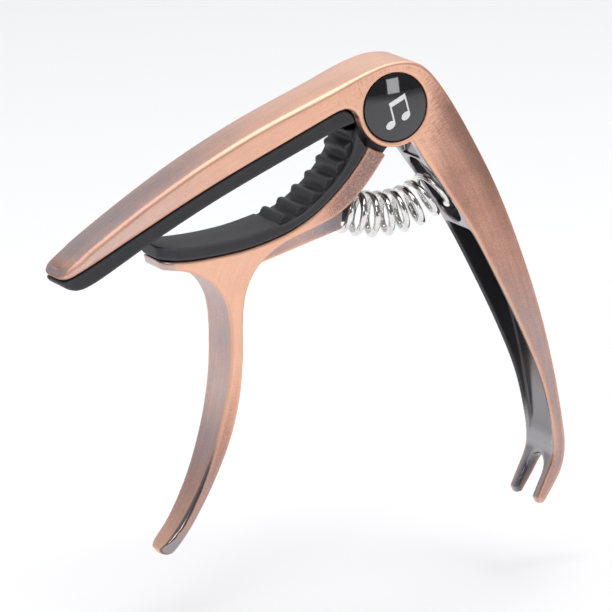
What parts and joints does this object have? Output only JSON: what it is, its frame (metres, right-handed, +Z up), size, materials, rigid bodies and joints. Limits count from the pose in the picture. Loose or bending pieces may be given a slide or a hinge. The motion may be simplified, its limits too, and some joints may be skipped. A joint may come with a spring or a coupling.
{
  "type": "guitar capo",
  "caption": "Trigger-style guitar capo: a sprung jaw clamps the strings across a guitar neck, with soft pads and a bridge-pin fork on the rear handle.",
  "frame": {"origin": "middle of the box on the surface that the capo stands on", "axes": "+X from the arm's tip to the rear handle, +Y along the pivot pin, +Z up with the handles hanging down"},
  "size_m": [0.1006, 0.013, 0.0874],
  "materials": {
    "frame_copper": "brushed antique copper plate on a zinc alloy casting",
    "lever_copper": "brushed antique copper plate on a zinc alloy casting, as cast near the hub",
    "string_silicone": "matte moulded silicone",
    "neck_silicone": "satin moulded silicone",
    "bright_nickel": "bright nickel plate",
    "pin_steel": "plain steel",
    "nylon": "black nylon",
    "badge_print": "black printed film",
    "badge_resin": "clear gloss resin over the black film"
  },
  "bodies": {
    "frame": {"frame_body": "frame_copper", "string_pad": "string_silicone", "return_spring": "bright_nickel", "pivot_pin": "pin_steel", "thrust_washer_front": "nylon", "thrust_washer_back": "nylon", "badge_disc_front": "badge_print", "badge_disc_back": "badge_print", "badge_dome_front": "badge_resin", "badge_dome_back": "badge_resin"},
    "lever": {"clamp_lever": "lever_copper", "neck_pad": "neck_silicone"}
  },
  "joints": [
    {"name": "lever_pivot", "type": "hinge", "parent": "frame", "child": "lever", "pos_m": [0.01665, 0, 0.079], "axis": [0, -1, 0], "range_deg": [0, 25], "stiffness_Nm_per_rad": 1.03, "springref_deg": -41.83, "deforming": ["return_spring"]}
  ]
}
